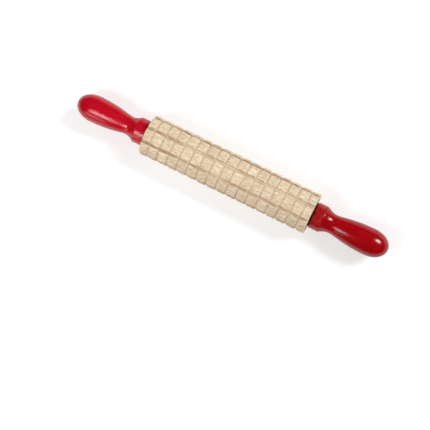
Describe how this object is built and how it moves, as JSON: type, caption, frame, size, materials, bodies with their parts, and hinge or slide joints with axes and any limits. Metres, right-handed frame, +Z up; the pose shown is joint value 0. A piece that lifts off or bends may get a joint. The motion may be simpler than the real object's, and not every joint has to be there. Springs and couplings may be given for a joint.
{
  "type": "textured pattern roller",
  "caption": "Hand roller with a wooden barrel cut into a grid of raised pads, turning on an axle between turned, lacquered handles.",
  "frame": {"origin": "middle of the axle, which is the centre of the whole roller", "axes": "+X along the axle towards handle_right, +Z up, out of the middle of a row of pads; the roller lies on the opposite row"},
  "size_m": [0.2196, 0.0268, 0.0268],
  "materials": {
    "bare_wood": "sanded, unfinished beech",
    "red_lacquer": "gloss red lacquer over turned wood",
    "steel": "drawn rod",
    "nylon": "natural moulded nylon",
    "dark_fibre": "matt vulcanised fibre"
  },
  "bodies": {
    "handles": {"axle": "steel", "handle_left": "red_lacquer", "handle_right": "red_lacquer", "washer_left": "dark_fibre", "washer_right": "dark_fibre"},
    "barrel": {"barrel": "bare_wood", "bush_left": "nylon", "bush_right": "nylon"}
  },
  "joints": [
    {"name": "barrel_spin", "type": "hinge", "parent": "handles", "child": "barrel", "pos_m": [0, 0, 0], "axis": [1, 0, 0], "continuous": true}
  ]
}
